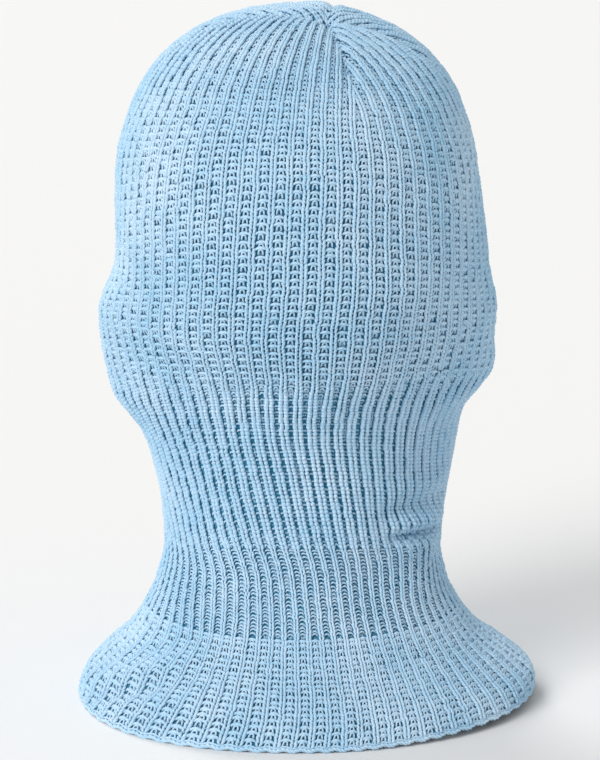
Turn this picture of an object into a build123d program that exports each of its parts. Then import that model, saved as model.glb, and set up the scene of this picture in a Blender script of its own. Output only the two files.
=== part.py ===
"""Ribbed knitted balaclava: one tubular knit body in zones, a trimmed face opening, seams and a sewn-in label."""

import os
from math import cos, radians, sin

from build123d import *

# Frame: millimetres, +Z up, the hem ring lies on Z = 0 round the origin, the face opening looks along -Y.
# Left and right are the wearer's: left is +X.

# Fabric
FABRIC = 3.0                 # thickness of the cardigan-rib fabric
TRIM_PROUD = 0.8             # how far the trim band stands above and below the fabric
SEAM_BULK = 1.6              # depth of the seam allowances on the inside
SEAM_WIDTH = 3.2

# Zone borders, as heights above the hem
HEM_EDGE = 5.0               # top of the cast-on edge
COLLAR_TOP = 38.0            # eyelet course between the collar and the neck band
NECK_BAND_TOP = 74.0
JAW_TOP = 127.0              # lower end of the ear bulges
CROWN_BASE = 232.0
APEX = 300.4

# Sections of the outside: height, half width, back reach, front reach, sideways shift
SECTIONS = [
    (0, 100.0, 101.0, 101.0, 0.0),
    (9, 97.5, 96.5, 96.5, -0.6),
    (18, 90.0, 89.0, 90.0, -0.1),
    (27, 79.5, 78.5, 82.5, 1.0),
    (36, 71.0, 69.5, 76.5, 1.9),
    (48, 63.8, 61.5, 73.0, 2.1),
    (64, 60.4, 56.0, 77.0, 1.7),
    (80, 61.5, 55.5, 86.0, 1.9),
    (100, 64.1, 57.5, 94.0, 2.5),
    (114, 67.7, 61.0, 96.5, 3.4),
    (123, 72.7, 64.5, 98.0, 5.6),
    (132, 79.3, 68.5, 98.7, 4.7),
    (150, 84.7, 78.0, 99.2, 3.4),
    (167, 85.6, 86.0, 98.0, 3.6),
    (188, 80.2, 92.5, 95.5, 2.8),
    (215, 78.3, 95.0, 93.5, 4.0),
]
CROWN_HALF_WIDTH = 76.8
CROWN_BACK = 93.5
CROWN_FRONT = 92.0
CROWN_SHIFT = 4.3
CROWN_FULLNESS = 2.12        # exponent of the dome's outline; 2 is an ellipse
CROWN_STEPS = 8
CROWN_CAP_ANGLE = 85.0       # the dome closes with a small flat at this angle

# Face opening, an ellipse seen from the front, and its trim band
FACE_SHIFT = 3.2
OPENING_HEIGHT = 184.0
OPENING_HALF_WIDTH = 62.0
OPENING_HALF_HEIGHT = 32.0
BAND_HALF_WIDTH = 68.0
BAND_HALF_HEIGHT = 44.0
LINKING_WIDTH = 2.4          # width of the linking stitches along the band's outer edge
FACE_REACH = 130.0           # how far forward the opening's cutter runs

# Crown darts: four, running out from the gathered point, at azimuths in degrees from +X towards +Y
GATHER = (-8.5, 34.0)
DARTS = {"back": 105.0, "right": 195.0, "front": 265.0, "left": 335.0}
GORES = ["back_right", "front_right", "front_left", "back_left"]   # each follows its dart
DART_FOOT = 262.0            # height where a dart begins
TACK_RADIUS = 6.0

# Care label, sewn to the inside of the neck at the centre back
LABEL_WIDTH = 24.0
LABEL_DROP = 34.0
LABEL_THICKNESS = 0.6
LABEL_CORNER = 1.0
LABEL_HINGE = (49.4, 70.0)   # y and z of the flap's top edge
LABEL_ROLL = 0.45            # radius of the folded edge that the flap turns on
LABEL_ROOM = (20.0, 150.0)   # heights between which the header and its stitches are cut out
HEADER_HEIGHT = 6.0
HEADER_GAP = 0.3
STITCH_THICKNESS = 0.6
STITCH_LENGTH = 2.2
STITCH_COUNT = 6
STITCH_PITCH = 3.8

BIG = 400.0


def dome_rows(inset):
    """Sections of the crown dome, drawn in by the inset in every direction."""
    rise = APEX - inset - CROWN_BASE
    rows = []
    for step in range(CROWN_STEPS + 1):
        angle = radians(CROWN_CAP_ANGLE * step / CROWN_STEPS)
        across = cos(angle) ** (2 / CROWN_FULLNESS)
        height = CROWN_BASE + rise * sin(angle) ** (2 / CROWN_FULLNESS)
        reaches = (CROWN_HALF_WIDTH - inset, CROWN_BACK - inset, CROWN_FRONT - inset)
        rows.append((height, *(reach * across for reach in reaches), CROWN_SHIFT))
    return rows


def form(inset):
    """The whole shape as one closed solid, drawn in by the inset."""
    rows = [(z, w - inset, b - inset, f - inset, s) for z, w, b, f, s in SECTIONS]
    with BuildPart() as solid:
        for z, half_width, back, front, shift in rows + dome_rows(inset):
            with BuildSketch(Plane((shift, (back - front) / 2, z))):
                Ellipse(half_width, (back + front) / 2)
        loft()
    return solid.part


def shell(outer_inset, inner_inset):
    """The wall between two of those forms."""
    with BuildPart() as wall:
        add(form(outer_inset))
        add(form(inner_inset), mode=Mode.SUBTRACT)
    return wall.part


def azimuth(angle):
    """The level direction at this many degrees from +X towards +Y."""
    return (cos(radians(angle)), sin(radians(angle)), 0)


def zone(source, bottom, top, sector=None, about=(0, 0)):
    """The source between two heights and, if given, between two azimuths under 180 degrees apart."""
    with BuildPart() as piece:
        add(source)
        if bottom > 0:
            split(bisect_by=Plane((0, 0, bottom), z_dir=(0, 0, 1)), keep=Keep.TOP)
        if top < APEX:
            split(bisect_by=Plane((0, 0, top), z_dir=(0, 0, -1)), keep=Keep.TOP)
        if sector:
            start, end = sector
            split(bisect_by=Plane((*about, 0), z_dir=azimuth(start + 90)), keep=Keep.TOP)
            split(bisect_by=Plane((*about, 0), z_dir=azimuth(end - 90)), keep=Keep.TOP)
    return piece.part


def face_prism(half_width, half_height):
    """An elliptic prism that runs forward through the face."""
    with BuildPart() as prism:
        with BuildSketch(Plane((FACE_SHIFT, 0, OPENING_HEIGHT), x_dir=(1, 0, 0), z_dir=(0, -1, 0))):
            Ellipse(half_width, half_height)
        extrude(amount=FACE_REACH)
    return prism.part


def slab(centre, angle, width):
    """A thin upright slab from a centre out along an azimuth."""
    with BuildPart() as wall:
        with BuildSketch(Plane((*centre, 0), x_dir=azimuth(angle), z_dir=(0, 0, 1))):
            Rectangle(BIG, width, align=(Align.MIN, Align.CENTER))
        extrude(amount=BIG)
    return wall.part


def save(part, name):
    """Label a finished piece and write it."""
    part.label = name
    export_step(part, f"parts/{name}.step")


os.makedirs("parts", exist_ok=True)
fabric = shell(0, FABRIC)
allowance = shell(FABRIC, FABRIC + SEAM_BULK)

# Knit body, with the room for the trim band cut out of it
with BuildPart() as body:
    add(fabric)
    add(face_prism(BAND_HALF_WIDTH, BAND_HALF_HEIGHT), mode=Mode.SUBTRACT)

# Cast-on edge and neck band are whole rings
save(zone(body.part, 0, HEM_EDGE), "hem_edge")
save(zone(body.part, COLLAR_TOP, NECK_BAND_TOP), "neck_band")

# Collar and jaw zone, in quarters
QUARTERS = {"back": (45, 135), "right": (135, 225), "front": (225, 315), "left": (-45, 45)}
for side, sector in QUARTERS.items():
    save(zone(body.part, HEM_EDGE, COLLAR_TOP, sector), f"collar_{side}")
    save(zone(body.part, NECK_BAND_TOP, JAW_TOP, sector), f"jaw_zone_{side}")

# Head zone: back, both sides round the ears, brow above the opening, mouth panel below it
save(zone(body.part, JAW_TOP, CROWN_BASE, (45, 135)), "head_back")
save(zone(body.part, JAW_TOP, CROWN_BASE, (135, 210)), "ear_side_right")
save(zone(body.part, JAW_TOP, CROWN_BASE, (-30, 45)), "ear_side_left")
save(zone(body.part, OPENING_HEIGHT, CROWN_BASE, (210, 330)), "brow_panel")
save(zone(body.part, JAW_TOP, OPENING_HEIGHT, (210, 330)), "mouth_panel")

# Crown: four gores between the darts, and the allowances of the dart seams on the inside
crown = zone(fabric, CROWN_BASE, APEX)
crown_allowance = zone(allowance, DART_FOOT, APEX)
azimuths = [*DARTS.values(), DARTS["back"] + 360]
for gore, start, end in zip(GORES, azimuths, azimuths[1:]):
    save(zone(crown, CROWN_BASE, APEX, (start, end), GATHER), f"crown_gore_{gore}")
for name, angle in DARTS.items():
    with BuildPart() as dart:
        add(crown_allowance)
        add(slab(GATHER, angle, SEAM_WIDTH), mode=Mode.INTERSECT)
        with BuildSketch(Plane((*GATHER, 0))):
            Circle(TACK_RADIUS)
        extrude(amount=BIG, mode=Mode.SUBTRACT)
    save(dart.part, f"dart_seam_{name}")

# Tack that closes the gathered point from the inside
with BuildPart() as tack:
    add(crown_allowance)
    with BuildSketch(Plane((*GATHER, 0))):
        Circle(TACK_RADIUS)
    extrude(amount=BIG, mode=Mode.INTERSECT)
save(tack.part, "crown_tack")

# Trim band round the face opening, in an upper and a lower length, with its linking stitches inside
with BuildPart() as band:
    add(shell(-TRIM_PROUD, FABRIC + TRIM_PROUD))
    add(face_prism(BAND_HALF_WIDTH, BAND_HALF_HEIGHT), mode=Mode.INTERSECT)
    add(face_prism(OPENING_HALF_WIDTH, OPENING_HALF_HEIGHT), mode=Mode.SUBTRACT)
with BuildPart() as linking:
    add(shell(FABRIC + TRIM_PROUD, FABRIC + TRIM_PROUD + SEAM_BULK))
    add(face_prism(BAND_HALF_WIDTH, BAND_HALF_HEIGHT), mode=Mode.INTERSECT)
    inner_edge = face_prism(BAND_HALF_WIDTH - LINKING_WIDTH / 2, BAND_HALF_HEIGHT - LINKING_WIDTH)
    add(inner_edge, mode=Mode.SUBTRACT)
for source, name in ((band.part, "face_trim"), (linking.part, "linking_seam")):
    save(zone(source, OPENING_HEIGHT, APEX), f"{name}_upper")
    save(zone(source, HEM_EDGE, OPENING_HEIGHT), f"{name}_lower")

# Chin seam, the allowance that closes the tube at the centre front
with BuildPart() as chin_seam:
    add(zone(allowance, HEM_EDGE, OPENING_HEIGHT - BAND_HALF_HEIGHT - 1))
    add(slab((0, 0), 270, SEAM_WIDTH), mode=Mode.INTERSECT)
save(chin_seam.part, "chin_seam")

# Care label: a header that lies on the wall, a free flap that hangs below it, and the stitches
hinge_y, hinge_z = LABEL_HINGE
header_z = hinge_z + HEADER_GAP + HEADER_HEIGHT / 2
with BuildPart() as header:
    add(zone(shell(FABRIC, FABRIC + LABEL_THICKNESS), *LABEL_ROOM))
    with BuildSketch(Plane((0, 0, header_z), x_dir=(1, 0, 0), z_dir=(0, 1, 0))):
        Rectangle(LABEL_WIDTH, HEADER_HEIGHT)
    extrude(amount=BIG, mode=Mode.INTERSECT)
save(header.part, "label_header")

with BuildPart() as flap:
    with BuildSketch(Plane((0, hinge_y, hinge_z - LABEL_DROP / 2), x_dir=(1, 0, 0), z_dir=(0, 1, 0))):
        RectangleRounded(LABEL_WIDTH, LABEL_DROP, LABEL_CORNER)
    extrude(amount=LABEL_THICKNESS / 2, both=True)
    with Locations(Location((0, hinge_y, hinge_z), (0, 90, 0))):
        Cylinder(LABEL_ROLL, LABEL_WIDTH)
save(flap.part, "care_label")

thread_inset = FABRIC + LABEL_THICKNESS
with BuildPart() as stitches:
    add(zone(shell(thread_inset, thread_inset + STITCH_THICKNESS), *LABEL_ROOM))
    with BuildSketch(Plane((0, 0, header_z), x_dir=(1, 0, 0), z_dir=(0, 1, 0))):
        with GridLocations(STITCH_PITCH, 1, STITCH_COUNT, 1):
            SlotOverall(STITCH_LENGTH, STITCH_THICKNESS)
    extrude(amount=BIG, mode=Mode.INTERSECT)
save(stitches.part, "label_stitches")
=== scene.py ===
"""The looks of the ribbed balaclava: every stitch is a length of yarn, laid on the shape of the hood."""

from math import cos, pi, radians, sin, tau

import bpy
import numpy as np
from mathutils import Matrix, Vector


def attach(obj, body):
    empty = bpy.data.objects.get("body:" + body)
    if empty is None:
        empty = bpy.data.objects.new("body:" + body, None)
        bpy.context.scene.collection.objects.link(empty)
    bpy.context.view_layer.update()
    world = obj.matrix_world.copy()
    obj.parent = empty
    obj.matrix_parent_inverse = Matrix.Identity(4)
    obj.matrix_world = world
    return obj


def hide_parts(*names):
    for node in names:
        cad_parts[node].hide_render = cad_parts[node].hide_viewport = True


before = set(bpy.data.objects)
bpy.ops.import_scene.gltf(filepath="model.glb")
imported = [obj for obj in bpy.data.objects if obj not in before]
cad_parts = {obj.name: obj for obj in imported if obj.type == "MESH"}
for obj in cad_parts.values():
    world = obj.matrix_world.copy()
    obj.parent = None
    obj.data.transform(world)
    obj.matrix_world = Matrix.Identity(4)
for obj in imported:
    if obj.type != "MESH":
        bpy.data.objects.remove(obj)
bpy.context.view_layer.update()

rng = np.random.default_rng(11)

# Frame: +Z up, the hem ring lies on Z = 0 round the origin, the face opening looks along -Y, left is +X.
# Lengths are in millimetres until MM turns them to metres, and angles are in degrees from +X towards +Y.
MM = 0.001

# The hood's outside: height, half width, back reach, front reach, sideways shift
SECTIONS = np.array([
    (0, 100.0, 101.0, 101.0, 0.0),
    (9, 97.5, 96.5, 96.5, -0.6),
    (18, 89.3, 88.5, 89.5, 0.1),
    (27, 77.4, 77.4, 81.5, 1.3),
    (36, 70.2, 69.2, 76.0, 1.9),
    (48, 63.8, 61.5, 73.0, 2.1),
    (64, 60.4, 56.0, 77.0, 1.7),
    (80, 61.5, 55.5, 86.0, 1.9),
    (100, 65.4, 57.5, 94.0, 2.6),
    (114, 68.9, 61.0, 96.5, 3.3),
    (123, 72.7, 64.5, 98.0, 3.8),
    (132, 79.3, 68.5, 98.7, 4.0),
    (150, 84.7, 78.0, 99.2, 3.4),
    (167, 85.6, 86.0, 98.0, 3.6),
    (188, 80.2, 92.5, 95.5, 2.8),
    (215, 78.3, 95.0, 93.5, 4.0),
    (232, 76.8, 93.5, 92.0, 4.3),
])
CROWN_BASE = 232.0
APEX = 300.4
CROWN_FULLNESS = 2.12        # exponent of the dome's rounding
FABRIC = 3.0                 # thickness of the knit
NAPE_WIDTHS = ((0, 100.0), (48, 63.8), (64, 60.4), (80, 61.3), (100, 62.4), (114, 63.6), (132, 67.0),
               (150, 73.0), (167, 78.6), (188, 79.8), (215, 78.3))
EARS = (-4.0, 184.0)         # angles of the ear bulges
EAR_SPREAD = 26.0
FLARES = ((4.5, 50, 22), (0.6, 150, 20))     # extra flare of the collar: millimetres, angle, spread
TIP_LIFT = 3.0               # how far the collar's rim lifts off the floor on the right
PEAK = 1.6                   # height of the soft rise in front of the gathered point

# Gathered point and darts of the crown
GATHER = (-8.5, 34.0)
DART_ROOM = 3.2              # degrees that a rib may run past its dart
DART_GROOVE = 1.6            # depth of the groove along a dart
DIMPLE = 2.4                 # depth of the dimple at the gathered point
DARTS = {"back": 105.0, "right": 195.0, "front": 265.0, "left": 335.0}   # azimuths from that point
GORE_AXES = (150.0, 230.0, 300.0, 443.0)     # azimuth that each gore's wales run along
DART_START = 0.914           # fraction of the crown's reach where the darts begin
GORE_CROWDING = 0.52         # wale spacing at the gathered point, as a part of the full one

# Face opening, with its half width and half height
FACE_SHIFT = 3.2
OPENING_HEIGHT = 184.0
OPENING = (62.0, 32.0)
BAND = (68.0, 44.0)          # the same for the outer edge of the band round it

# Knit: wales round the tube, then curves of (height, value) from the hem up. SPREAD widens the wales at the
# sides, TWIST turns them, TILT lowers the courses towards the front, and DROP lowers them at both sides.
WALES = 70
SPREAD = ((0, 0.24), (40, 0.16), (100, 0.05), (150, 0.0))
TWIST = ((0, 8.4), (40, 11.0), (60, 9.6), (80, 5.6), (100, 2.6), (127, 0.0), (160, 0.0), (232, 3.0))
TILT = ((38, 0), (66, 4), (90, 7), (127, 9), (170, 9), (200, 7), (232, 5), (300, 1.5), (350, 0))
DROP = ((38, 0), (66, 4), (90, 5), (127, 3), (170, 2), (193, 6), (236, 13), (300, 8), (350, 0))


def smooth(points):
    """A curve through (x, y) points that never overshoots them, as a function of x."""
    xs, ys = np.array(points, dtype=float).T
    step = np.diff(xs)
    rise = np.diff(ys) / step
    slope = np.zeros(len(xs))
    for i in range(1, len(xs) - 1):
        if rise[i - 1] * rise[i] > 0:
            slope[i] = 2 * rise[i - 1] * rise[i] / (rise[i - 1] + rise[i])
    slope[0], slope[-1] = rise[0], rise[-1]

    def at(x):
        x = np.clip(x, xs[0], xs[-1])
        i = np.clip(np.searchsorted(xs, x, side="right") - 1, 0, len(step) - 1)
        t = (x - xs[i]) / step[i]
        start = (1 + 2 * t) * (1 - t) ** 2 * ys[i] + t * (1 - t) ** 2 * step[i] * slope[i]
        return start + t * t * (3 - 2 * t) * ys[i + 1] + t * t * (t - 1) * step[i] * slope[i + 1]

    return at


half_width, back_reach, front_reach, shift = (smooth(SECTIONS[:, (0, i)]) for i in range(1, 5))
nape_width = smooth(NAPE_WIDTHS)
spread_at, twist_at, tilt_at, drop_at = (smooth(p) for p in (SPREAD, TWIST, TILT, DROP))
CROWN_WIDTH, CROWN_BACK, CROWN_FRONT, CROWN_SHIFT = SECTIONS[-1, 1:]
CROWN_DEPTH = (CROWN_BACK + CROWN_FRONT) / 2
CROWN_CENTRE = (CROWN_BACK - CROWN_FRONT) / 2

# The crown's reach, from 1 at its base to 0 at its middle, against the distance along its surface
dome_turn = np.linspace(0, pi / 2, 600)
dome_reach = np.cos(dome_turn) ** (2 / CROWN_FULLNESS)
dome_rise = np.sin(dome_turn) ** (2 / CROWN_FULLNESS) * (APEX - CROWN_BASE)
dome_steps = np.hypot(np.diff(dome_reach) * (CROWN_WIDTH + CROWN_DEPTH) / 2, np.diff(dome_rise))
dome_path = np.concatenate([[0], np.cumsum(dome_steps)])


def bell(x, middle, width):
    """1 at the middle, falling to 0 on both sides."""
    return np.exp(-0.5 * ((x - middle) / width) ** 2)


def ramp(x, start, end):
    """A soft step from 0 at the start to 1 at the end."""
    t = np.clip((x - start) / (end - start), 0, 1)
    return t * t * (3 - 2 * t)


def bearing(a):
    """Azimuth about the gathered point of the crown base's point at parameter angle a, both in degrees."""
    a = np.radians(a)
    y = CROWN_DEPTH * np.sin(a) + CROWN_CENTRE - GATHER[1]
    x = CROWN_WIDTH * np.cos(a) + CROWN_SHIFT - GATHER[0]
    return np.degrees(np.unwrap(np.arctan2(y, x)))


base_angles = np.arange(-90.0, 540.0, 1.0)
base_bearings = bearing(base_angles)
base_bearings += 360 * np.round((base_angles[0] - base_bearings[0]) / 360)


def base_angle(azimuth):
    """The crown base's parameter angle that lies at this azimuth from the gathered point."""
    return np.interp(azimuth, base_bearings, base_angles)


DART_ANGLES = base_angle(np.array([*DARTS.values(), DARTS["back"] + 360]))
AXIS_ANGLES = base_angle(np.array(GORE_AXES))


def wale_angle(u, height):
    """Parameter angle of wale u at a height on the centre back; ribs slip aside at two folds."""
    turn = tau * (u + 0.5) / WALES
    angle = np.degrees(turn + spread_at(height) / 2 * np.sin(2 * turn)) + twist_at(height)
    slip = 4.5 * bell(angle % 360, 145, 16) * bell(height, 70, 9)
    slip += 4.4 * bell(angle % 360, 38, 13) * bell(height, 33, 7)
    return angle + slip


def gore_of(u):
    """The gore that wale u runs into, and the turn that brings its angle between the gore's darts."""
    foot = wale_angle(u, CROWN_BASE)
    turns = np.floor((foot - DART_ANGLES[0]) / 360)
    foot = foot - 360 * turns
    gore = np.clip(np.searchsorted(DART_ANGLES, foot, side="right") - 1, 0, len(DARTS) - 1)
    return gore, -360 * turns


def crown_angle(angle, reach, gore):
    """Where the wale lies once the darts have crowded it, and by how much that is past its darts."""
    inside = np.maximum(reach, 0.02)
    growth = np.where(inside < DART_START, GORE_CROWDING * DART_START / inside + 1 - GORE_CROWDING, 1.0)
    axis = AXIS_ANGLES[gore]
    wanted = axis + (angle - axis) * growth
    room = DART_ROOM * ramp(reach, DART_START - 0.12, DART_START)
    kept = np.clip(wanted, DART_ANGLES[gore] - room, DART_ANGLES[gore + 1] + room)
    past = np.where(reach < DART_START, np.abs(wanted - kept), 0)
    return np.where(reach < 1, kept, angle), past


def crown_sink(height):
    """How far the worn crown lies inside the plain dome."""
    return 2.4 * ramp(height, 226, 256) + 0.3 * ramp(height, 286, 300)


def relief(angle, height):
    """Folds of the worn fabric, as a distance out from the plain shape."""
    a = angle % 360
    # The crease on the right of the nape, and a fainter one above it
    right = ramp(a, 122, 140) * (1 - ramp(a, 152, 174))
    sag = 72.5 - 0.073 * (a - 175)
    fold = right * (-5.0 * bell(height, sag, 1.7) + 3.2 * bell(height, sag + 5.0, 3.0)
                    + 1.2 * bell(height, sag - 5.5, 3.2))
    second = ramp(a, 112, 135) * (1 - ramp(a, 160, 175))
    fold += second * (-1.3 * bell(height, 88 + 0.05 * (a - 150), 2.6) + 0.9 * bell(height, 95, 4.0))
    # The slanting fold at the collar's left
    slant = 22 + 0.5 * (a - 38)
    fold += (2.4 * bell(height, slant, 3.4) - 2.2 * bell(height, slant - 7, 2.6)) * bell(a, 36, 13)
    fold -= crown_sink(height)
    # Fullness under the ears
    fold += 3.2 * bell(height, 125, 7) * bell((a + 180) % 360 - 180, 0, 16)
    fold += (2.8 * bell(height, 141, 6) - 0.8 * bell(height, 124, 6)) * bell(a, 182, 14)
    waves = 0.5 * np.sin(np.radians(3 * a) + height / 19)
    waves += 0.35 * np.sin(np.radians(7 * a + 40) - height / 13)
    return fold + waves * ramp(height, 30, 60) * (1 - ramp(height, 225, 250))


def plain_surface(u, height, gore, turns):
    """The hood's outside without folds: points, overrun past a dart, angle and crown reach of wale u."""
    angle = wale_angle(u, height)
    a = np.radians(angle)
    level = height - tilt_at(height) * (1 - np.sin(a)) - drop_at(height) * np.cos(a) ** 2
    z = np.minimum(level, CROWN_BASE)
    reach = np.interp(level - CROWN_BASE, dome_path, dome_reach)
    turned, past = crown_angle(angle + turns, reach, gore)
    a = np.radians(turned)
    ear = sum(bell((turned - at + 180) % 360 - 180, 0, EAR_SPREAD) for at in EARS)
    hollow = (1 - np.minimum(ear, 1)) * ramp(np.sin(a), -0.15, 0.35)
    width = half_width(z)
    width = width - np.maximum(width - nape_width(z), 0) * hollow
    depth = (back_reach(z) + front_reach(z)) / 2
    low = 1 - ramp(z, 0, 30)
    flare = low * sum(size * bell(turned % 360, at, spread) for size, at, spread in FLARES)
    width, depth = width + flare, depth + flare
    x = shift(z) + width * np.cos(a)
    y = (back_reach(z) - front_reach(z)) / 2 + depth * np.sin(a)
    out_x = GATHER[0] + (x - GATHER[0]) * reach
    out_y = GATHER[1] + (y - GATHER[1]) * reach
    across = np.hypot((out_x - CROWN_SHIFT) / CROWN_WIDTH, (out_y - CROWN_CENTRE) / CROWN_DEPTH)
    dome = 1 - np.minimum(across, 1) ** CROWN_FULLNESS
    rise = (APEX - CROWN_BASE) * dome ** (1 / CROWN_FULLNESS)
    rise = rise + PEAK * bell(out_x, GATHER[0], 8) * bell(out_y, 8, 18)
    z = z + TIP_LIFT * (1 - ramp(z, 0, 20)) * ramp(-x, 15, 95)
    crown = np.stack([out_x, out_y, CROWN_BASE + rise], -1)
    point = np.where((reach < 1)[..., None], crown, np.stack([x, y, z], -1))
    return point, past, turned, reach


def dome_normal(point):
    """Outward direction of the crown's dome at points on it."""
    x, y = point[..., 0] - CROWN_SHIFT, point[..., 1] - CROWN_CENTRE
    across = np.hypot(x / CROWN_WIDTH, y / CROWN_DEPTH) ** (CROWN_FULLNESS - 2)
    rise = np.clip((point[..., 2] - CROWN_BASE) / (APEX - CROWN_BASE), 0, 1)
    upward = rise ** (CROWN_FULLNESS - 1) / (APEX - CROWN_BASE)
    return np.stack([x / CROWN_WIDTH ** 2 * across, y / CROWN_DEPTH ** 2 * across, upward], -1)


def hood_surface(u, height, centre_u=None):
    """Points, outward normals, wale pitch and overrun past a dart of wale u, at a height on the centre back.

    centre_u is the wale that decides the gore, where u strays to both sides of it.
    """
    gore, turns = gore_of(u if centre_u is None else centre_u)
    du, dh = 0.05, 0.4

    def place(at_u, at_height):
        return plain_surface(at_u, at_height, gore, turns)[0]

    point, past, turned, reach = plain_surface(u, height, gore, turns)
    along_u = place(u + du, height) - place(u - du, height)
    along_h = place(u, height + dh) - place(u, height - dh)
    normal = np.where((reach < 1)[..., None], dome_normal(point), np.cross(along_u, along_h))
    normal = normal / np.linalg.norm(normal, axis=-1, keepdims=True)
    lift = relief(turned, point[..., 2])
    near = np.minimum(np.abs(turned - DART_ANGLES[gore]), np.abs(DART_ANGLES[gore + 1] - turned))
    groove = DART_GROOVE * bell(np.radians(near) * 80 * reach, 0, 2.2) * (1 - ramp(reach, 0.55, 0.85))
    dimple = DIMPLE * bell(reach * 85, 0, 4.5)
    pitch = np.linalg.norm(along_u, axis=-1) / (2 * du)
    return point + normal * (lift - groove * (reach < 1) - dimple)[..., None], normal, pitch, past


# Courses: each zone's kind of stitch, lower and upper height, and course height at its foot and at its top
COURSE_ZONES = (("collar", 2.4, 38.5, 2.75, 2.75), ("band", 38.5, 74.0, 1.5, 1.55),
                ("jaw", 74.0, 127.0, 3.4, 3.4), ("head", 127.0, 232.0, 3.1, 3.3))
CROWN_COURSE = 3.3
GATHER_REACH = 0.035         # where the last course lies, as a part of the crown's reach


def course_heights():
    """Where each course begins, as a height on the centre back that goes on along the crown's surface."""
    starts, kinds = [], []
    for kind, low, high, first, last in COURSE_ZONES:
        height = low
        mean = (first + last) / 2
        while height < high - mean / 2:
            starts.append(height)
            kinds.append(kind)
            size = first + (last - first) * (height - low) / (high - low)
            flare = (half_width(height + 1) - half_width(height - 1) + back_reach(height + 1)
                     - back_reach(height - 1)) / 4
            height += size / np.hypot(1, flare)
    top = CROWN_BASE + np.interp(-GATHER_REACH, -dome_reach, dome_path)
    height = max(height, CROWN_BASE)
    while height < top:
        starts.append(height)
        kinds.append("crown")
        height += CROWN_COURSE
    return np.array([*starts, height]), kinds


course_starts, course_kinds = course_heights()
course_numbers = np.arange(len(course_starts))


def height_at(t):
    """The height of course number t, which may lie between two."""
    return np.interp(t, course_numbers, course_starts)


# Stitch templates. Each row of a tube is: wales across, courses up, millimetres in from the outside, radius.
# A stitch has an open shape, for stretched fabric, and a closed one, where the ribs draw together.
def mirrored(rows):
    """A tube and its mirror image across the wale."""
    return [rows, [(-x, y, d, r) for x, y, d, r in rows]]


def arched(rows):
    """The whole arch whose left half is given, from its foot to its top."""
    return rows + [(-x, y, d, r) for x, y, d, r in reversed(rows[:-1])]


def face_leg(low, high, wide=1.0):
    """One leg of a knit stitch, from its foot between its neighbours to its shoulder."""
    middle = (low + high) / 2
    tall = high - low
    return [(0.050 * wide, low - 0.16 * tall, 1.35, 0.52), (0.100 * wide, low + 0.18 * tall, 0.75, 0.62),
            (0.132 * wide, middle + 0.12 * tall, 0.60, 0.66), (0.150 * wide, high + 0.02 * tall, 0.85, 0.60),
            (0.148 * wide, high + 0.22 * tall, 1.40, 0.49)]


def closed_leg(low, high, wide=1.0):
    """The same leg where the ribs draw together, plump and close to its neighbours."""
    middle = (low + high) / 2
    tall = high - low
    return [(0.134 * wide, low, 1.50, 0.64), (0.160 * wide, low + 0.27 * tall, 1.04, 1.08),
            (0.191 * wide, middle, 0.82, 1.38), (0.222 * wide, high - 0.27 * tall, 1.04, 1.08),
            (0.240 * wide, high, 1.50, 0.64)]


CARDIGAN_FACE = [*zip(mirrored(face_leg(-0.5, 0.0)), mirrored(closed_leg(-0.5, 0.0))),
                 *zip(mirrored(face_leg(0.0, 0.5, 0.9)), mirrored(closed_leg(0.0, 0.5, 0.92)))]
CARDIGAN_CHANNEL = [
    (arched([(-0.150, -0.52, 1.60, 0.42), (-0.130, -0.30, 1.22, 0.45), (-0.112, -0.06, 1.05, 0.46),
             (-0.092, 0.12, 0.95, 0.47), (0.0, 0.22, 0.88, 0.50)]),
     arched([(-0.220, -0.06, 2.00, 0.40), (-0.170, -0.02, 1.92, 0.46), (-0.115, 0.02, 1.86, 0.50),
             (-0.055, 0.05, 1.83, 0.52), (0.0, 0.06, 1.82, 0.52)])),
    (arched([(-0.345, 0.14, 1.70, 0.52), (-0.245, 0.31, 1.14, 0.66), (-0.12, 0.42, 0.92, 0.74),
             (0.0, 0.45, 0.86, 0.76)]),
     arched([(-0.300, 0.14, 3.0, 0.36), (-0.200, 0.31, 3.0, 0.36), (-0.10, 0.42, 2.9, 0.36),
             (0.0, 0.45, 2.9, 0.36)])),
]
PLAIN_FACE = [(leg, leg) for leg in mirrored(face_leg(-0.5, 0.5))]
PLAIN_CHANNEL = [(loop, loop) for loop in [
    arched([(-0.310, -0.32, 1.90, 0.42), (-0.200, 0.04, 1.42, 0.46), (-0.09, 0.26, 1.18, 0.50),
            (0.0, 0.32, 1.12, 0.50)]),
]]


DRAWN_FROM = (64, 84)        # heights over which the ribs draw together at the neck
DRAWN_TO = (134, 152)        # and over which they part again at the head
CROWN_DRAWN = 0.36           # how far they draw together again at the top


def closing(u, height):
    """How far the ribs have drawn together: 0 where the fabric is stretched over the head, 1 at the nape."""
    turn = tau * (u + 0.5) / WALES % tau
    open_side = 0.45 * bell(turn, 0.45, 0.5) + 0.55 * bell(turn, 1.5 * pi, 0.9)
    nape = ramp(height, *DRAWN_FROM) * (1 - ramp(height, *DRAWN_TO)) * (1 - open_side)
    return np.maximum(nape, CROWN_DRAWN * ramp(height, 250, 300))


def tube_rings(points, normals, radii, sides):
    """Rings of vertices round many tubes at once: tubes by rings by sides by 3."""
    along = np.gradient(points, axis=1)
    along /= np.maximum(np.linalg.norm(along, axis=-1, keepdims=True), 1e-9)
    side = np.cross(along, normals)
    side /= np.maximum(np.linalg.norm(side, axis=-1, keepdims=True), 1e-9)
    up = np.cross(side, along)
    turn = tau * np.arange(sides) / sides
    ring = np.cos(turn)[:, None] * side[:, :, None, :] + np.sin(turn)[:, None] * up[:, :, None, :]
    return points[:, :, None, :] + radii[:, :, None, None] * ring


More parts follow.
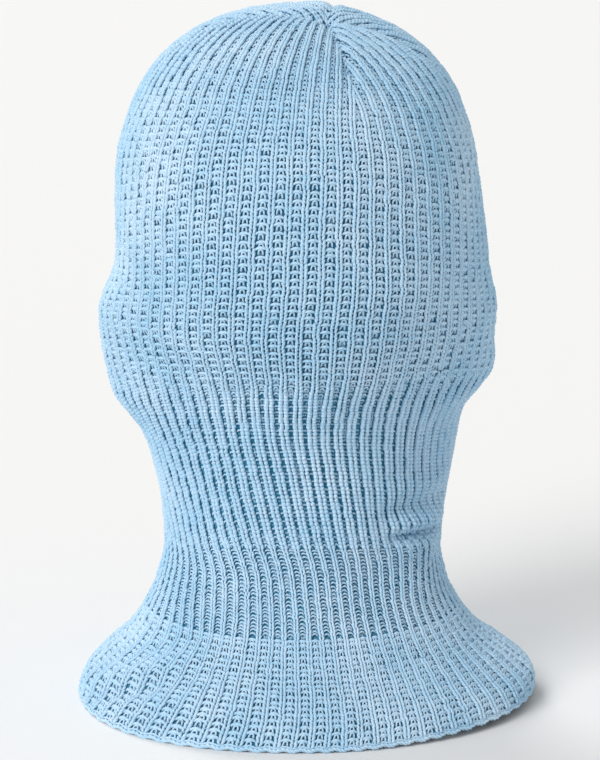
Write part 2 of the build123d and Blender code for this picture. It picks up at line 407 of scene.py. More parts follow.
def add_object(name, data):
    """A new object in the scene, made of this data."""
    ob = bpy.data.objects.new(name, data)
    bpy.context.scene.collection.objects.link(ob)
    return ob


class Yarn:
    """Collects tubes and makes one mesh of them."""

    def __init__(self):
        self.batches = []

    def add(self, points, normals, radii, sides, closed=False):
        if len(points):
            self.batches.append((tube_rings(points, normals, radii, sides), closed))

    def mesh(self, name, material):
        vertices, loops, starts, totals, strand, tubes = [], [], [], [], [], []
        offset = loop_count = tube_count = 0
        for rings, closed in self.batches:
            n, count, sides, _ = rings.shape
            vertices.append(rings.reshape(-1, 3))
            base = offset + np.arange(n)[:, None, None] * count * sides
            r = np.arange(count - 1)[None, :, None] * sides
            s = np.arange(sides)[None, None, :]
            nxt = (s + 1) % sides
            row = base + r
            quads = np.stack([row + s, row + sides + s, row + sides + nxt, row + nxt], -1)
            ring_no = np.broadcast_to(np.arange(count - 1)[None, :, None], quads.shape[:3])
            side_no = np.broadcast_to(s, quads.shape[:3])
            along = np.stack([ring_no, ring_no + 1, ring_no + 1, ring_no], -1) / (count - 1)
            around = np.stack([side_no, side_no, side_no + 1, side_no + 1], -1) / sides
            loops.append(quads.reshape(-1))
            starts.append(loop_count + 4 * np.arange(quads.size // 4))
            totals.append(np.full(quads.size // 4, 4))
            loop_count += quads.size
            strand.append(np.stack([along.reshape(-1), around.reshape(-1)], -1))
            owner = np.broadcast_to(tube_count + np.arange(n)[:, None, None, None], quads.shape)
            tubes.append(owner.reshape(-1))
            if not closed:
                for first, at in ((True, 0), (False, (count - 1) * sides)):
                    cap = base[:, :, 0] + at + np.arange(sides)[None, :]
                    cap = cap if first else cap[:, ::-1]
                    loops.append(cap.reshape(-1))
                    starts.append(loop_count + sides * np.arange(n))
                    totals.append(np.full(n, sides))
                    loop_count += cap.size
                    round_it = np.arange(sides) / sides if first else np.arange(sides)[::-1] / sides
                    edge = np.broadcast_to(round_it, cap.shape).reshape(-1)
                    strand.append(np.stack([np.full(cap.size, 0.0 if first else 1.0), edge], -1))
                    tubes.append(np.repeat(tube_count + np.arange(n), sides))
            offset += n * count * sides
            tube_count += n
        me = bpy.data.meshes.new(name)
        points = np.concatenate(vertices) * MM
        me.vertices.add(len(points))
        me.vertices.foreach_set("co", points.astype(np.float32).ravel())
        corners = np.concatenate(loops)
        me.loops.add(len(corners))
        me.loops.foreach_set("vertex_index", corners.astype(np.int32))
        first_loops = np.concatenate(starts)
        me.polygons.add(len(first_loops))
        me.polygons.foreach_set("loop_start", first_loops.astype(np.int32))
        me.polygons.foreach_set("loop_total", np.concatenate(totals).astype(np.int32))
        me.update(calc_edges=True)
        me.polygons.foreach_set("use_smooth", np.ones(len(first_loops), dtype=bool))
        strand_uv, owner = np.concatenate(strand), np.concatenate(tubes)
        cells = int(np.ceil(np.sqrt(tube_count)))
        cell = np.stack([owner % cells, owner // cells], -1)
        atlas = (cell + 0.12 + 0.76 * strand_uv) / cells
        for layer, values in (("OFBake", atlas), ("Strand", strand_uv)):
            me.uv_layers.new(name=layer).data.foreach_set("uv", values.astype(np.float32).ravel())
        me.uv_layers.active = me.uv_layers["OFBake"]
        me.materials.append(material)
        return add_object(name, me)


# Materials
def new_material(name):
    m = bpy.data.materials.new(name)
    m.use_nodes = True
    return m, m.node_tree, m.node_tree.nodes["Principled BSDF"]


def add_node(tree, kind, inputs=(), **settings):
    n = tree.nodes.new(kind)
    for key, value in settings.items():
        setattr(n, key, value)
    for key, value in dict(inputs).items():
        n.inputs[key].default_value = value
    return n


def maths(tree, operation, *sources):
    """The outcome of a maths node that is fed by sockets and by plain numbers."""
    n = add_node(tree, "ShaderNodeMath", operation=operation)
    for socket, source in zip(n.inputs, sources):
        if isinstance(source, float):
            socket.default_value = source
        else:
            tree.links.new(source, socket)
    return n.outputs[0]


def grain(tree, scale, detail=2.0, roughness=0.5):
    """Noise in the object's own coordinates."""
    n = add_node(tree, "ShaderNodeTexNoise", {"Scale": scale, "Detail": detail, "Roughness": roughness})
    place = add_node(tree, "ShaderNodeTexCoord")
    tree.links.new(place.outputs["Object"], n.inputs["Vector"])
    return n.outputs["Fac"]


def two_tone(tree, share, first, second, shader):
    """Gives the shader a colour between two, by a share from 0 to 1."""
    colours = add_node(tree, "ShaderNodeValToRGB")
    for element, colour in zip(colours.color_ramp.elements, (first, second)):
        element.color = (*colour, 1)
    tree.links.new(share, colours.inputs["Fac"])
    tree.links.new(colours.outputs["Color"], shader.inputs["Base Color"])


def raised(tree, height, strength, distance, shader):
    """Gives the shader a fine relief."""
    bump = add_node(tree, "ShaderNodeBump", {"Strength": strength, "Distance": distance})
    tree.links.new(height, bump.inputs["Height"])
    tree.links.new(bump.outputs["Normal"], shader.inputs["Normal"])


def yarn_material(name, pale, deep, roughness=0.82, sheen=0.25, plies=2.0):
    """Spun yarn: plies that wind along the strand, fibres, and slow changes of shade."""
    m, tree, shader = new_material(name)
    span = add_node(tree, "ShaderNodeMapRange", {"From Min": 0.72, "From Max": 1.28})
    tree.links.new(maths(tree, "ADD", grain(tree, 420.0, 3.0, 0.6), grain(tree, 28.0)), span.inputs["Value"])
    two_tone(tree, span.outputs["Result"], deep, pale, shader)
    strand = add_node(tree, "ShaderNodeUVMap", uv_map="Strand")
    parts = add_node(tree, "ShaderNodeSeparateXYZ")
    tree.links.new(strand.outputs["UV"], parts.inputs[0])
    wound = maths(tree, "MULTIPLY", parts.outputs["X"], 3.0 * tau)
    wave = maths(tree, "SINE", maths(tree, "MULTIPLY_ADD", parts.outputs["Y"], plies * tau, wound))
    raised(tree, maths(tree, "MULTIPLY_ADD", wave, 0.35, grain(tree, 2600.0)), 0.55, 0.00022, shader)
    shader.inputs["Roughness"].default_value = roughness
    shader.inputs["Specular IOR Level"].default_value = 0.22
    shader.inputs["Sheen Weight"].default_value = sheen
    shader.inputs["Sheen Roughness"].default_value = 0.45
    return m


BLUES = ((0.545, 0.730, 0.890), (0.350, 0.600, 0.800))
blue_yarn = yarn_material("Blue acrylic yarn", *BLUES)
trim_yarn = yarn_material("Blue trim yarn", *BLUES)
# Painted shade: a darker copy of the outside's blue yarn, for the inner side that lies in shade
shaded_inner_yarn = yarn_material("Blue yarn, inner side", (0.480, 0.680, 0.850), (0.370, 0.580, 0.760))
thread = yarn_material("Blue sewing thread", (0.40, 0.62, 0.82), (0.31, 0.52, 0.72), 0.6, 0.1)


def painted_shade_material():
    """The fabric's core, whose dark teal is painted shade, seen through the gaps between stitches."""
    m, tree, shader = new_material("Shaded core of the knit")
    # Painted shade: dark teal for the shadow between stitches, with a fine random change of tone
    two_tone(tree, grain(tree, 900.0), (0.020, 0.150, 0.250), (0.050, 0.250, 0.400), shader)
    shader.inputs["Roughness"].default_value = 0.95
    shader.inputs["Specular IOR Level"].default_value = 0.1
    return m


painted_shade = painted_shade_material()


# Laying stitches. SWAY is how far a stitch strays by chance: wales across, courses up, millimetres in.
SWAY = (0.015, 0.06, 0.12)
UNEVENNESS = 1.4
USUAL_PITCH = 7.6            # the wale pitch at which a yarn has its full radius


def stitch_points(template, wales, courses, jitter):
    """Centre lines, normals and radii of one template's tube at many stitches."""
    stretched, drawn = (np.array(shape) for shape in template)
    share = closing(wales, height_at(courses + 0.5))[:, None, None]
    rows = stretched + share * (drawn - stretched)
    u = wales[:, None] + rows[..., 0]
    t = courses[:, None] + 0.5 + rows[..., 1]
    sway = jitter[:, None, :]
    height = height_at(t + sway[..., 1] * SWAY[1] * (1 - 0.8 * share[..., 0]))
    centres = np.repeat(wales[:, None], u.shape[1], 1)
    point, normal, pitch, _ = hood_surface(u + sway[..., 0] * SWAY[0], height, centres)
    depth = rows[..., 2] + sway[..., 2] * SWAY[2]
    point = point - normal * depth[..., None]
    size = np.clip(pitch / USUAL_PITCH, 0.3, 1.15) ** 0.55
    return point, normal, rows[..., 3] * size * (1 + 0.05 * sway[..., 2])


def in_opening(points, grow=0.0):
    """Whether points on the front lie where the face opening and its band are."""
    x = (points[..., 0] - FACE_SHIFT) / (BAND[0] - 1.2 + grow)
    z = (points[..., 2] - OPENING_HEIGHT) / (BAND[1] - 1.6 + grow)
    return (points[..., 1] < 0) & (x * x + z * z < 1)


def all_stitches(kind, low=0.0, high=360.0):
    """Wale and course numbers of one zone's stitches between two angles at the head."""
    numbers = [i for i, k in enumerate(course_kinds) if k == kind]
    wales, courses = np.meshgrid(np.arange(WALES), numbers, indexing="ij")
    wales, courses = wales.ravel().astype(float), courses.ravel()
    turn = (360.0 * (wales + 0.5) / WALES) % 360
    inside = (turn - low) % 360 < high - low
    return wales[inside], courses[inside]


MOST_OVERRUN = 2.2           # a stitch further past its dart than this is left out
LEAST_PITCH = 0.8            # and so is one where the wales are closer than this


def lay(yarn, templates, wales, courses, sides, offset=0.0, skip=None):
    """Lays one kind of stitch at each wale and course, except in the opening and past the darts."""
    centres = wales + offset
    middle, _, pitch, past = hood_surface(centres, height_at(courses + 0.5), centres)
    keep = ~in_opening(middle) & (past < MOST_OVERRUN) & (pitch > LEAST_PITCH)
    if skip is not None:
        keep &= ~skip
    centres, rows = centres[keep], courses[keep].astype(float)
    jitter = UNEVENNESS * rng.normal(size=(len(centres), 3)).clip(-2, 2)
    for template in templates:
        point, normal, radius = stitch_points(template, centres, rows, jitter)
        yarn.add(point, normal, radius, sides)


pieces = {}
EYELET_COURSE = course_kinds.index("band")


def outside_piece(name, kind, low, high):
    """One part of the fabric's outside, which the eyelets at the foot of the neck band leave gaps in."""
    yarn = Yarn()
    wales, courses = all_stitches(kind, low, high)
    plain = kind == "band"
    lay(yarn, PLAIN_FACE if plain else CARDIGAN_FACE, wales, courses, 6)
    eyelet = courses == EYELET_COURSE
    lay(yarn, PLAIN_CHANNEL if plain else CARDIGAN_CHANNEL, wales, courses, 5, 0.5, eyelet)
    pieces[name] = yarn.mesh(name, blue_yarn)


# The zones are cut into pieces, each between two angles
THIRDS = {"back": (30, 150), "right": (150, 270), "left": (270, 390)}
HALVES = {"back": (0, 180), "front": (180, 360)}
HEAD_PARTS = {"back": (60, 120), "back_right": (120, 185), "front_right": (185, 270),
              "front_left": (270, 355), "back_left": (355, 420)}
CROWN_PARTS = {"back_right": (80, 165), "front_right": (165, 255),
               "front_left": (255, 345), "back_left": (345, 440)}
OUTSIDE = {"collar": THIRDS, "neck_band": HALVES, "jaw": THIRDS, "head": HEAD_PARTS, "crown": CROWN_PARTS}
for zone, parts in OUTSIDE.items():
    for side, (low, high) in parts.items():
        outside_piece(f"{zone}_{side}_knit", zone.removeprefix("neck_"), low, high)


def inner_templates(templates, depth, keep):
    """The same loops on the inner side, with fewer rings."""
    loops = []
    for rows, _ in templates:
        kept = [rows[i] for i in keep]
        loop = [(x, y, depth - min((d - 0.58) * 0.7, 0.4), r * 1.02) for x, y, d, r in kept]
        loops.append((loop, loop))
    return loops


INNER_LEGS = inner_templates(CARDIGAN_FACE, FABRIC - 0.38, (0, 2, 4))
INNER_ARCH = inner_templates(CARDIGAN_CHANNEL[:1], FABRIC - 0.7, (0, 2, 4, 6, 8))
INNER_PLAIN = inner_templates(PLAIN_FACE, FABRIC - 0.38, (0, 2, 4))


def inside_piece(name, kinds, low, high):
    """The fabric's inner side, whose ribs stand behind the channels of the outside."""
    yarn = Yarn()
    for kind in kinds:
        wales, courses = all_stitches(kind, low, high)
        lay(yarn, INNER_PLAIN if kind == "band" else INNER_LEGS, wales, courses, 5, 0.5)
        if kind != "band":
            lay(yarn, INNER_ARCH, wales, courses, 5)
    pieces[name] = yarn.mesh(name, shaded_inner_yarn)


INSIDE = (("neck", ("collar", "band", "jaw"), THIRDS), ("head", ("head",), HALVES),
          ("crown", ("crown",), HALVES))
for part, kinds, parts in INSIDE:
    for side, (low, high) in parts.items():
        inside_piece(f"{part}_{side}_inner_knit", kinds, low, high)


def grid_mesh(name, points, material, closed_u=True, drop=None):
    """A sheet through a grid of points in millimetres, rows by columns."""
    rows, columns, _ = points.shape
    r = np.arange(rows - 1)[:, None]
    c = np.arange(columns if closed_u else columns - 1)[None, :]
    nxt = (c + 1) % columns
    quads = np.stack(np.broadcast_arrays(r * columns + c, r * columns + nxt, (r + 1) * columns + nxt,
                                         (r + 1) * columns + c), -1).reshape(-1, 4)
    if drop is not None:
        quads = quads[~drop.reshape(-1)[quads].any(1)]
    used = np.unique(quads)
    renumber = np.full(rows * columns, -1)
    renumber[used] = np.arange(len(used))
    me = bpy.data.meshes.new(name)
    me.from_pydata((points.reshape(-1, 3)[used] * MM).tolist(), [], renumber[quads].tolist())
    me.polygons.foreach_set("use_smooth", np.ones(len(quads), dtype=bool))
    me.materials.append(material)
    me.update()
    return add_object(name, me)


# The fabric's core: one sheet in the middle of the wall, which waves with the wales, painted dark as the
# shade in the gaps between stitches
def painted_shade_sheet():
    per_wale = 6
    u = np.arange(WALES * per_wale) / per_wale
    grid_u, grid_t = np.meshgrid(u, course_numbers.astype(float))
    point, normal, _, _ = hood_surface(grid_u, height_at(grid_t), np.round(grid_u - 0.2))
    wave = 1.74 - 0.38 * (1 - 0.3 * closing(grid_u, height_at(grid_t))) * np.cos(tau * grid_u)
    point = point - normal * wave[..., None]
    return grid_mesh("hood_painted_shade_sheet", point, painted_shade, drop=in_opening(point, -1.5))


# The sheet of painted shade behind the stitches
fabric = painted_shade_sheet()
pieces["hood_painted_shade_sheet"] = fabric


# Trim band round the face opening: fine rib whose wales cross the band
BAND_WALES = 112
BAND_COURSE = 1.62
BAND_HALF = 1.55             # from the band's middle plane to the yarn's centre lines
BAND_MIDDLE = 1.5            # the middle plane's depth below the hood's outside
BAND_FOLD = 2.2              # from the inner edge to the centre of the fold
BAND_WIDTH = 9.0
BAND_PATH = 2 * BAND_WIDTH + pi * BAND_HALF
BAND_LEG = [(0.05, -0.62, -0.75, 0.36), (0.13, -0.15, -0.05, 0.46),
            (0.185, 0.28, 0.05, 0.46), (0.20, 0.72, -0.6, 0.36)]
BAND_PURL = [(-0.30, -0.3, -0.95, 0.34), (-0.12, 0.12, -0.55, 0.38),
             (0.12, 0.12, -0.55, 0.38), (0.30, -0.3, -0.95, 0.34)]


def wall_point(x, z, way, depth=0.0):
    """A point at a depth below the plain outside, on its back (way 1) or on its front (way -1)."""
    across = np.clip((x - shift(z)) / (half_width(z) - depth), -0.999, 0.999)
    reach = (back_reach(z) + front_reach(z)) / 2 - depth
    y = (back_reach(z) - front_reach(z)) / 2 + way * reach * np.sqrt(1 - across ** 2)
    return np.stack([x, y, z], -1)


def band_surface(u, s, lift):
    """Points and normals of the band's yarn surface. s runs over its front, round the fold and inside."""
    beta = tau * u / BAND_WALES
    run = pi * BAND_HALF

    def middle(angle, w):
        half_x = OPENING[0] + BAND_FOLD + (BAND[0] - OPENING[0] - BAND_FOLD) * w
        half_z = OPENING[1] + BAND_FOLD + (BAND[1] - OPENING[1] - BAND_FOLD) * w
        z = np.minimum(OPENING_HEIGHT + half_z * np.sin(angle), CROWN_BASE)
        return wall_point(FACE_SHIFT + half_x * np.cos(angle), z, -1)

    inside = np.where(s < BAND_WIDTH + run, 0, (s - BAND_WIDTH - run) / BAND_WIDTH)
    w = np.where(s < BAND_WIDTH, 1 - s / BAND_WIDTH, inside)
    turn = np.clip((s - BAND_WIDTH) / run, 0, 1) * pi
    here = middle(beta, w)
    round_it = middle(beta + 0.01, w) - middle(beta - 0.01, w)
    outward = middle(beta, w + 0.02) - middle(beta, w - 0.02)
    inward = -outward / np.linalg.norm(outward, axis=-1, keepdims=True)
    normal = np.cross(round_it, outward)
    normal /= np.linalg.norm(normal, axis=-1, keepdims=True)
    normal *= np.sign(-normal[..., 1:2])
    inward = inward - normal * (inward * normal).sum(-1, keepdims=True)
    inward /= np.linalg.norm(inward, axis=-1, keepdims=True)
    facing = normal * np.cos(turn)[..., None] + inward * np.sin(turn)[..., None]
    return here - normal * BAND_MIDDLE + facing * (BAND_HALF + lift)[..., None], facing


def band_rib(name, low, high):
    """The stitches of half the band, between two of its wales."""
    yarn = Yarn()
    courses = np.arange(int(BAND_PATH / BAND_COURSE))
    grid = np.meshgrid(np.arange(low, high), courses, indexing="ij")
    wales, rows = (g.ravel().astype(float) for g in grid)
    jitter = rng.normal(size=(len(wales), 3)).clip(-2, 2)
    for template, offset in [(t, 0.0) for t in mirrored(BAND_LEG)] + [(BAND_PURL, 0.5)]:
        shape = np.array(template)
        u = wales[:, None] + offset + shape[None, :, 0] + jitter[:, None, 0] * 0.015
        s = (rows[:, None] + 0.5 + shape[None, :, 1] + jitter[:, None, 1] * 0.05) * BAND_COURSE
        lift = shape[None, :, 2] + jitter[:, None, 2] * 0.05 + 0 * u
        point, facing = band_surface(u, s, lift)
        yarn.add(point, facing, shape[None, :, 3] + 0 * u, 6)
    pieces[name] = yarn.mesh(name, trim_yarn)


def band_painted_shade_sheet(name, low, high):
    """The sheet of painted shade behind the band's stitches."""
    u = np.linspace(low, high, 4 * (high - low) + 1)
    s = np.linspace(-0.3, BAND_PATH + 0.3, 40)
    grid_u, grid_s = np.meshgrid(u - 0.5, s)
    point, _ = band_surface(grid_u, grid_s, -0.75 + 0 * grid_u)
    pieces[name] = grid_mesh(name, point, painted_shade, closed_u=False)


BAND_HALVES = {"upper": (0, BAND_WALES // 2), "lower": (BAND_WALES // 2, BAND_WALES)}
for half, (low, high) in BAND_HALVES.items():
    band_rib(f"face_trim_{half}_rib", low, high)
# Sheets of painted shade behind the band's stitches
for half, (low, high) in BAND_HALVES.items():
    band_painted_shade_sheet(f"face_trim_{half}_core", low, high)


def along_strand(yarn, centre, normals, radius, sides=6, closed=False):
    """One long strand through a line of points."""
    if closed:
        centre = np.concatenate([centre, centre[:1]])
        normals = np.concatenate([normals, normals[:1]])
    yarn.add(centre[None], normals[None], np.full((1, len(centre)), radius), sides, closed)


def whipped(yarn, centre, normals, ridge, pitch, radius, sides=5):
    """Overlock stitching: a strand that winds round a line of points."""
    lengths = np.concatenate([[0], np.cumsum(np.linalg.norm(np.diff(centre, axis=0), axis=1))])
    count = max(int(lengths[-1] / pitch * 10), 12)
    at = np.linspace(0, lengths[-1], count)
    line = np.stack([np.interp(at, lengths, centre[:, i]) for i in range(3)], -1)
    out = np.stack([np.interp(at, lengths, normals[:, i]) for i in range(3)], -1)
    ahead = np.gradient(line, axis=0)
    ahead /= np.linalg.norm(ahead, axis=1, keepdims=True)
    side = np.cross(ahead, out)
    turn = tau * at / pitch
    wound = line + ridge * (0.62 * np.cos(turn)[:, None] * out + np.sin(turn)[:, None] * side)
    yarn.add(wound[None], out[None], np.full((1, count), radius), sides)


def hem_piece():
    """Cast-on edge: two strands twisted round the hem, drawn in at each channel, over two that link them."""
    yarn = Yarn()
    u = np.arange(WALES * 12) / 12
    for phase in (0, pi):
        turn = tau * 2 * u + phase
        height = 1.25 - 0.35 * np.cos(tau * u) + 0.30 * np.sin(turn)
        point, normal, _, _ = hood_surface(u, height)
        depth = 1.55 + 0.5 * np.cos(turn)
        along_strand(yarn, point - normal * depth[:, None], normal, 0.62, 6, closed=True)
    for depth in (1.3, 2.4):
        point, normal, _, _ = hood_surface(u, 2.3 - 0.35 * np.cos(tau * u))
        along_strand(yarn, point - normal * depth, normal, 0.5, 5, closed=True)
    pieces["hem_cast_on_edge"] = yarn.mesh("hem_cast_on_edge", blue_yarn)


hem_piece()


def hood_line(u, heights, depth):
    """A line on the hood, at a depth below its outside."""
    point, normal, _, _ = hood_surface(u, heights)
    return point - normal * depth, normal


def chin_piece():
    """Chin seam: the allowance and its overlock, inside the centre front."""
    yarn = Yarn()
    heights = np.linspace(6.0, 133.0, 260)
    wales = np.linspace(0, WALES, 1401)
    angle_now = wale_angle(wales[:, None], heights[None, :]) % 360
    u = wales[np.abs(angle_now - 270).argmin(0)]
    u = np.convolve(np.pad(u, 12, mode="edge"), np.ones(25) / 25, mode="valid")
    centre, normal = hood_line(u, heights, FABRIC + 0.35)
    for side in (-0.07, 0.07):
        line, out = hood_line(u + side, heights, FABRIC + 0.3)
        along_strand(yarn, line, out, 0.55, 6)
    whipped(yarn, centre, normal, 1.15, 2.3, 0.30)
    pieces["chin_seam_overlock"] = yarn.mesh("chin_seam_overlock", thread)


chin_piece()


# Dart seams and the tack that closes the gathered point
def crown_point(azimuth, reach, depth):
    """A point at a depth below the crown, at an azimuth from the gathered point."""
    a = np.radians(base_angle(azimuth) + 0 * reach)
    x = GATHER[0] + (CROWN_SHIFT + CROWN_WIDTH * np.cos(a) - GATHER[0]) * reach
    y = GATHER[1] + (CROWN_CENTRE + CROWN_DEPTH * np.sin(a) - GATHER[1]) * reach

    def top(px, py):
        across = np.hypot((px - CROWN_SHIFT) / CROWN_WIDTH, (py - CROWN_CENTRE) / CROWN_DEPTH)
        dome = 1 - np.minimum(across, 0.999) ** CROWN_FULLNESS
        return CROWN_BASE + (APEX - CROWN_BASE) * dome ** (1 / CROWN_FULLNESS)

    z = top(x, y)
    step = 0.2
    normal = np.stack([top(x - step, y) - top(x + step, y), top(x, y - step) - top(x, y + step),
                       2 * step + 0 * z], -1)
    normal /= np.linalg.norm(normal, axis=-1, keepdims=True)
    return np.stack([x, y, z], -1) - normal * (depth + crown_sink(z))[..., None], normal


for name, azimuth in DARTS.items():
    seam = Yarn()
    reach = np.linspace(0.88, 0.09, 90)
    line, out = crown_point(azimuth, reach, FABRIC + 0.55)
    along_strand(seam, line, out, 0.6, 6)
    whipped(seam, line, out, 1.15, 2.2, 0.30)
    joined, up = crown_point(azimuth, reach, 2.2)
    whipped(seam, joined, up, 0.8, 3.0, 0.38)
    pieces[f"dart_{name}_overlock"] = seam.mesh(f"dart_{name}_overlock", thread)

tack = Yarn()
for turn in np.arange(0, 360, 40):
    arm = np.linspace(-1, 1, 9)
    line, out = crown_point(turn, np.full(9, 0.02), FABRIC + 0.2)
    swing = np.array([cos(radians(turn)), sin(radians(turn)), 0])
    line = line + arm[:, None] * swing * 4.2 - out * (1.6 * (1 - arm ** 2))[:, None]
    along_strand(tack, line, out, 0.42, 6)
pieces["crown_tack_stitches"] = tack.mesh("crown_tack_stitches", thread)


def linking_piece(name, low, high):
    """Linking stitches along the band's outer edge, on the inside, and the pick-up row outside."""
    yarn = Yarn()
    for depth, swing, radius in ((2 * BAND_HALF + 1.15, 0.9, 0.32), (0.15, 0.55, 0.36)):
        u = np.linspace(low, high, 10 * (high - low) + 1) - 0.5
        for way, below in ((1, 0.0), (-1, 0.2)):
            s = 0.35 + way * swing * 0.5 * np.cos(tau * u)
            point, facing = band_surface(u, s, -depth - below + 0 * u)
            along_strand(yarn, point, facing, radius, 5)
    pieces[name] = yarn.mesh(name, thread)


for half, (low, high) in BAND_HALVES.items():
    linking_piece(f"linking_{half}_stitches", low, high)


# Care label: woven tape, with a header sewn to the wall and a free flap
def tape_material():
    """Plain woven tape, whose warp and weft show as fine waves."""
    m, tree, shader = new_material("White woven tape")
    place = add_node(tree, "ShaderNodeTexCoord")
    warp = add_node(tree, "ShaderNodeTexWave", {"Scale": 900.0, "Distortion": 0.4}, bands_direction="X")
    weft = add_node(tree, "ShaderNodeTexWave", {"Scale": 700.0, "Distortion": 0.4}, bands_direction="Z")
    for wave in (warp, weft):
        tree.links.new(place.outputs["Object"], wave.inputs["Vector"])
    both = maths(tree, "MULTIPLY", warp.outputs["Fac"], weft.outputs["Fac"])
    two_tone(tree, both, (0.62, 0.62, 0.60), (0.82, 0.82, 0.80), shader)
    raised(tree, both, 0.4, 0.0001, shader)
    shader.inputs["Roughness"].default_value = 0.55
    shader.inputs["Sheen Weight"].default_value = 0.2
    return m


tape = tape_material()
white_thread = yarn_material("White sewing thread", (0.80, 0.80, 0.78), (0.66, 0.66, 0.64), 0.5, 0.1)
LABEL_WIDTH = 24.0
LABEL_DROP = 34.0            # length of the free flap
LABEL_HINGE = (49.4, 70.0)   # y and z of the fold that the flap swings about
LABEL_ROLL = 0.45            # radius of that fold
HEADER = (70.3, 76.3)        # lower and upper edge of the part sewn to the wall


def solidified(ob, thickness):
    """Gives a thin sheet its two faces and its edges."""
    made = ob.modifiers.new("Thickness", "SOLIDIFY")
    made.thickness = thickness * MM
    made.offset = 0
    with bpy.context.temp_override(object=ob, active_object=ob):
        bpy.ops.object.modifier_apply(modifier="Thickness")
    return ob


def label_flap():
    """The free part of the label, which hangs from the folded edge at the top: a slight curl, and cut lower
    corners.
    """
    rows, columns = 40, 25
    drop = np.linspace(0, LABEL_DROP, rows)
    across = np.linspace(-1, 1, columns)
    grid_across, grid_drop = np.meshgrid(across, drop)
    corner = np.maximum(grid_drop - (LABEL_DROP - 1.2), 0) / 1.2
    x = grid_across * (LABEL_WIDTH / 2) * (1 - 0.035 * corner ** 2)
    curl = 0.22 * np.sin(grid_drop / LABEL_DROP * pi) * (grid_across ** 2 - 0.4)
    y = LABEL_HINGE[0] + curl
    z = LABEL_HINGE[1] - grid_drop
    flap = grid_mesh("care_label_flap", np.stack([x, y, z], -1), tape, closed_u=False)
    return solidified(flap, 0.45)


def label_header():
    """The tape's upper edge, which lies against the wall."""
    x, z = np.meshgrid(np.linspace(-LABEL_WIDTH / 2, LABEL_WIDTH / 2, 25), np.linspace(*HEADER, 7))
    points = wall_point(x, z, 1, FABRIC + 0.85)
    return solidified(grid_mesh("label_header_tape", points, tape, closed_u=False), 0.4)


flap = label_flap()
header = label_header()
roll = Yarn()
line = np.array([(x, *LABEL_HINGE) for x in np.linspace(-LABEL_WIDTH / 2, LABEL_WIDTH / 2, 13)])
along_strand(roll, line, np.tile([0.0, 1.0, 0.0], (13, 1)), LABEL_ROLL, 10)
fold = roll.mesh("care_label_fold", tape)

stitching = Yarn()
middle_z = sum(HEADER) / 2
for i in range(6):
    x = (i - 2.5) * 3.8 + np.linspace(-1.1, 1.1, 7)
    dip = 0.35 * np.abs(np.linspace(-1, 1, 7)) ** 3
    line = wall_point(x, np.full(7, middle_z), 1, FABRIC + 1.3) + np.stack([0 * x, dip, 0 * x], -1)
    along_strand(stitching, line, np.tile([0.0, -1.0, 0.0], (7, 1)), 0.22, 6)
label_stitches = stitching.mesh("label_stitch_thread", white_thread)

# What each piece rides on, and what it replaces
for ob in (*pieces.values(), header, label_stitches):
    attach(ob, "hood")
for ob in (flap, fold):
    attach(ob, "label")

for name, node in (("hem_cast_on_edge", "hem_edge"), ("neck_band_back_knit", "neck_band")):
    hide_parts(node)
for zone, node in (("collar", "collar"), ("jaw", "jaw_zone")):
    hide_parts(f"{node}_back")
    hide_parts(f"{node}_right", f"{node}_front")
    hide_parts(f"{node}_left")
for side, node in (("back", "head_back"), ("back_right", "ear_side_right"), ("back_left", "ear_side_left"),
                   ("front_right", "brow_panel"), ("front_left", "mouth_panel")):
    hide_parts(node)
for side in CROWN_PARTS:
    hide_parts(f"crown_gore_{side}")
for name in DARTS:
    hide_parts(f"dart_seam_{name}")
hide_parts("crown_tack")
for half in ("upper", "lower"):
    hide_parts(f"face_trim_{half}")
    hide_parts(f"linking_seam_{half}")
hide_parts("chin_seam")
for ob, node in ((header, "label_header"), (flap, "care_label"), (label_stitches, "label_stitches")):
    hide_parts(node)

# Floor, light and camera
floor_mesh = bpy.data.meshes.new("floor")
FLOOR_REACH = 60.0           # metres
FLOOR_GAP = 0.0006           # between the floor and the hood's foot, in metres
floor_corners = [(x * FLOOR_REACH, y * FLOOR_REACH, 0) for x, y in ((-1, -1), (1, -1), (1, 1), (-1, 1))]
floor_mesh.from_pydata(floor_corners, [], [(0, 1, 2, 3)])
floor = add_object("floor", floor_mesh)
floor_paint, _, floor_shader = new_material("Pale floor")
floor_shader.inputs["Base Color"].default_value = (0.82, 0.82, 0.82, 1)
floor_shader.inputs["Roughness"].default_value = 0.9
floor_mesh.materials.append(floor_paint)
floor.location.z = -FLOOR_GAP


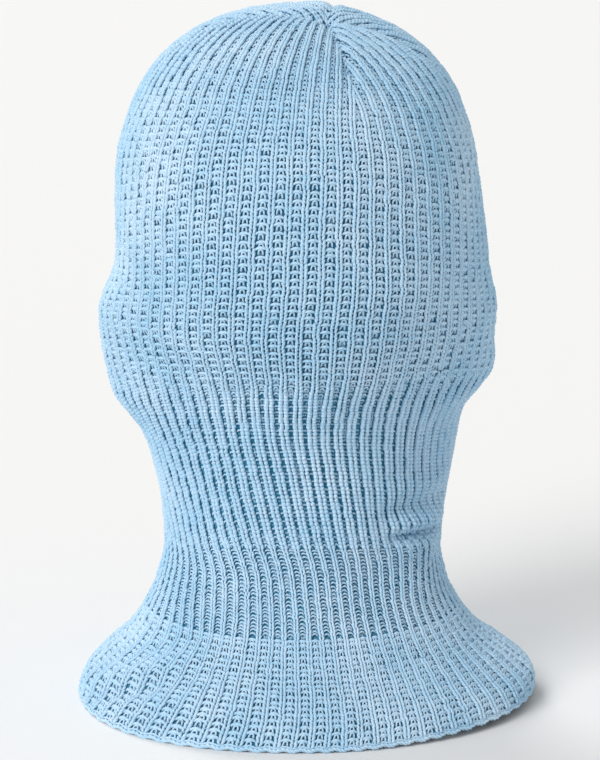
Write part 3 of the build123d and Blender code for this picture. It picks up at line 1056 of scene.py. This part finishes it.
def studio_world():
    """Pale surroundings, brighter towards the horizon."""
    made = bpy.data.worlds.new("Studio")
    made.use_nodes = True
    tree = made.node_tree
    place = add_node(tree, "ShaderNodeTexCoord")
    parts = add_node(tree, "ShaderNodeSeparateXYZ")
    strength = add_node(tree, "ShaderNodeMapRange",
                        {"From Min": 0.05, "From Max": 0.45, "To Min": 0.90, "To Max": 0.50})
    tree.links.new(place.outputs["Generated"], parts.inputs[0])
    tree.links.new(parts.outputs["Z"], strength.inputs["Value"])
    tree.links.new(strength.outputs["Result"], tree.nodes["Background"].inputs["Strength"])
    tree.nodes["Background"].inputs["Color"].default_value = (0.99, 1.0, 1.0, 1)
    bpy.context.scene.world = made


studio_world()


def direction(place, aim):
    """The turn that points a lamp or a camera from a place to what it aims at."""
    return (Vector(aim) - Vector(place)).to_track_quat("-Z", "Y").to_euler()


def far_light(name, place, strength, spread, colour):
    """Light from far away, whose disc spans some degrees, so that it falls evenly on the whole floor."""
    light = bpy.data.lights.new(name, "SUN")
    light.energy = strength
    light.angle = radians(spread)
    light.color = colour
    ob = add_object(name, light)
    ob.location = place
    ob.rotation_euler = direction(place, (0, 0, 0.15))


far_light("key", (1.15, 1.30, 1.25), 2.0, 32.0, (1.0, 0.97, 0.94))
far_light("front_key", (0.6, -1.5, 1.2), 1.35, 22.0, (1.0, 1.0, 1.0))

camera_data = bpy.data.cameras.new("camera")
camera = add_object("camera", camera_data)
CAMERA_AIM = (0.0030, 0.0, 0.1362)
CAMERA_DISTANCE = 1.4
CAMERA_ELEVATION = radians(10.0)
VIEW_SIZE = 0.3268           # what the picture's longer side spans at the aim, in metres
SENSOR = 36
camera_data.sensor_width = SENSOR
camera_data.lens = SENSOR * CAMERA_DISTANCE / VIEW_SIZE
camera_data.clip_start = 0.05
camera.location = (CAMERA_AIM[0], CAMERA_DISTANCE * cos(CAMERA_ELEVATION),
                   CAMERA_AIM[2] + CAMERA_DISTANCE * sin(CAMERA_ELEVATION))
camera.rotation_euler = direction(camera.location, CAMERA_AIM)
bpy.context.scene.camera = camera
bpy.context.scene.view_settings.view_transform = "Standard"
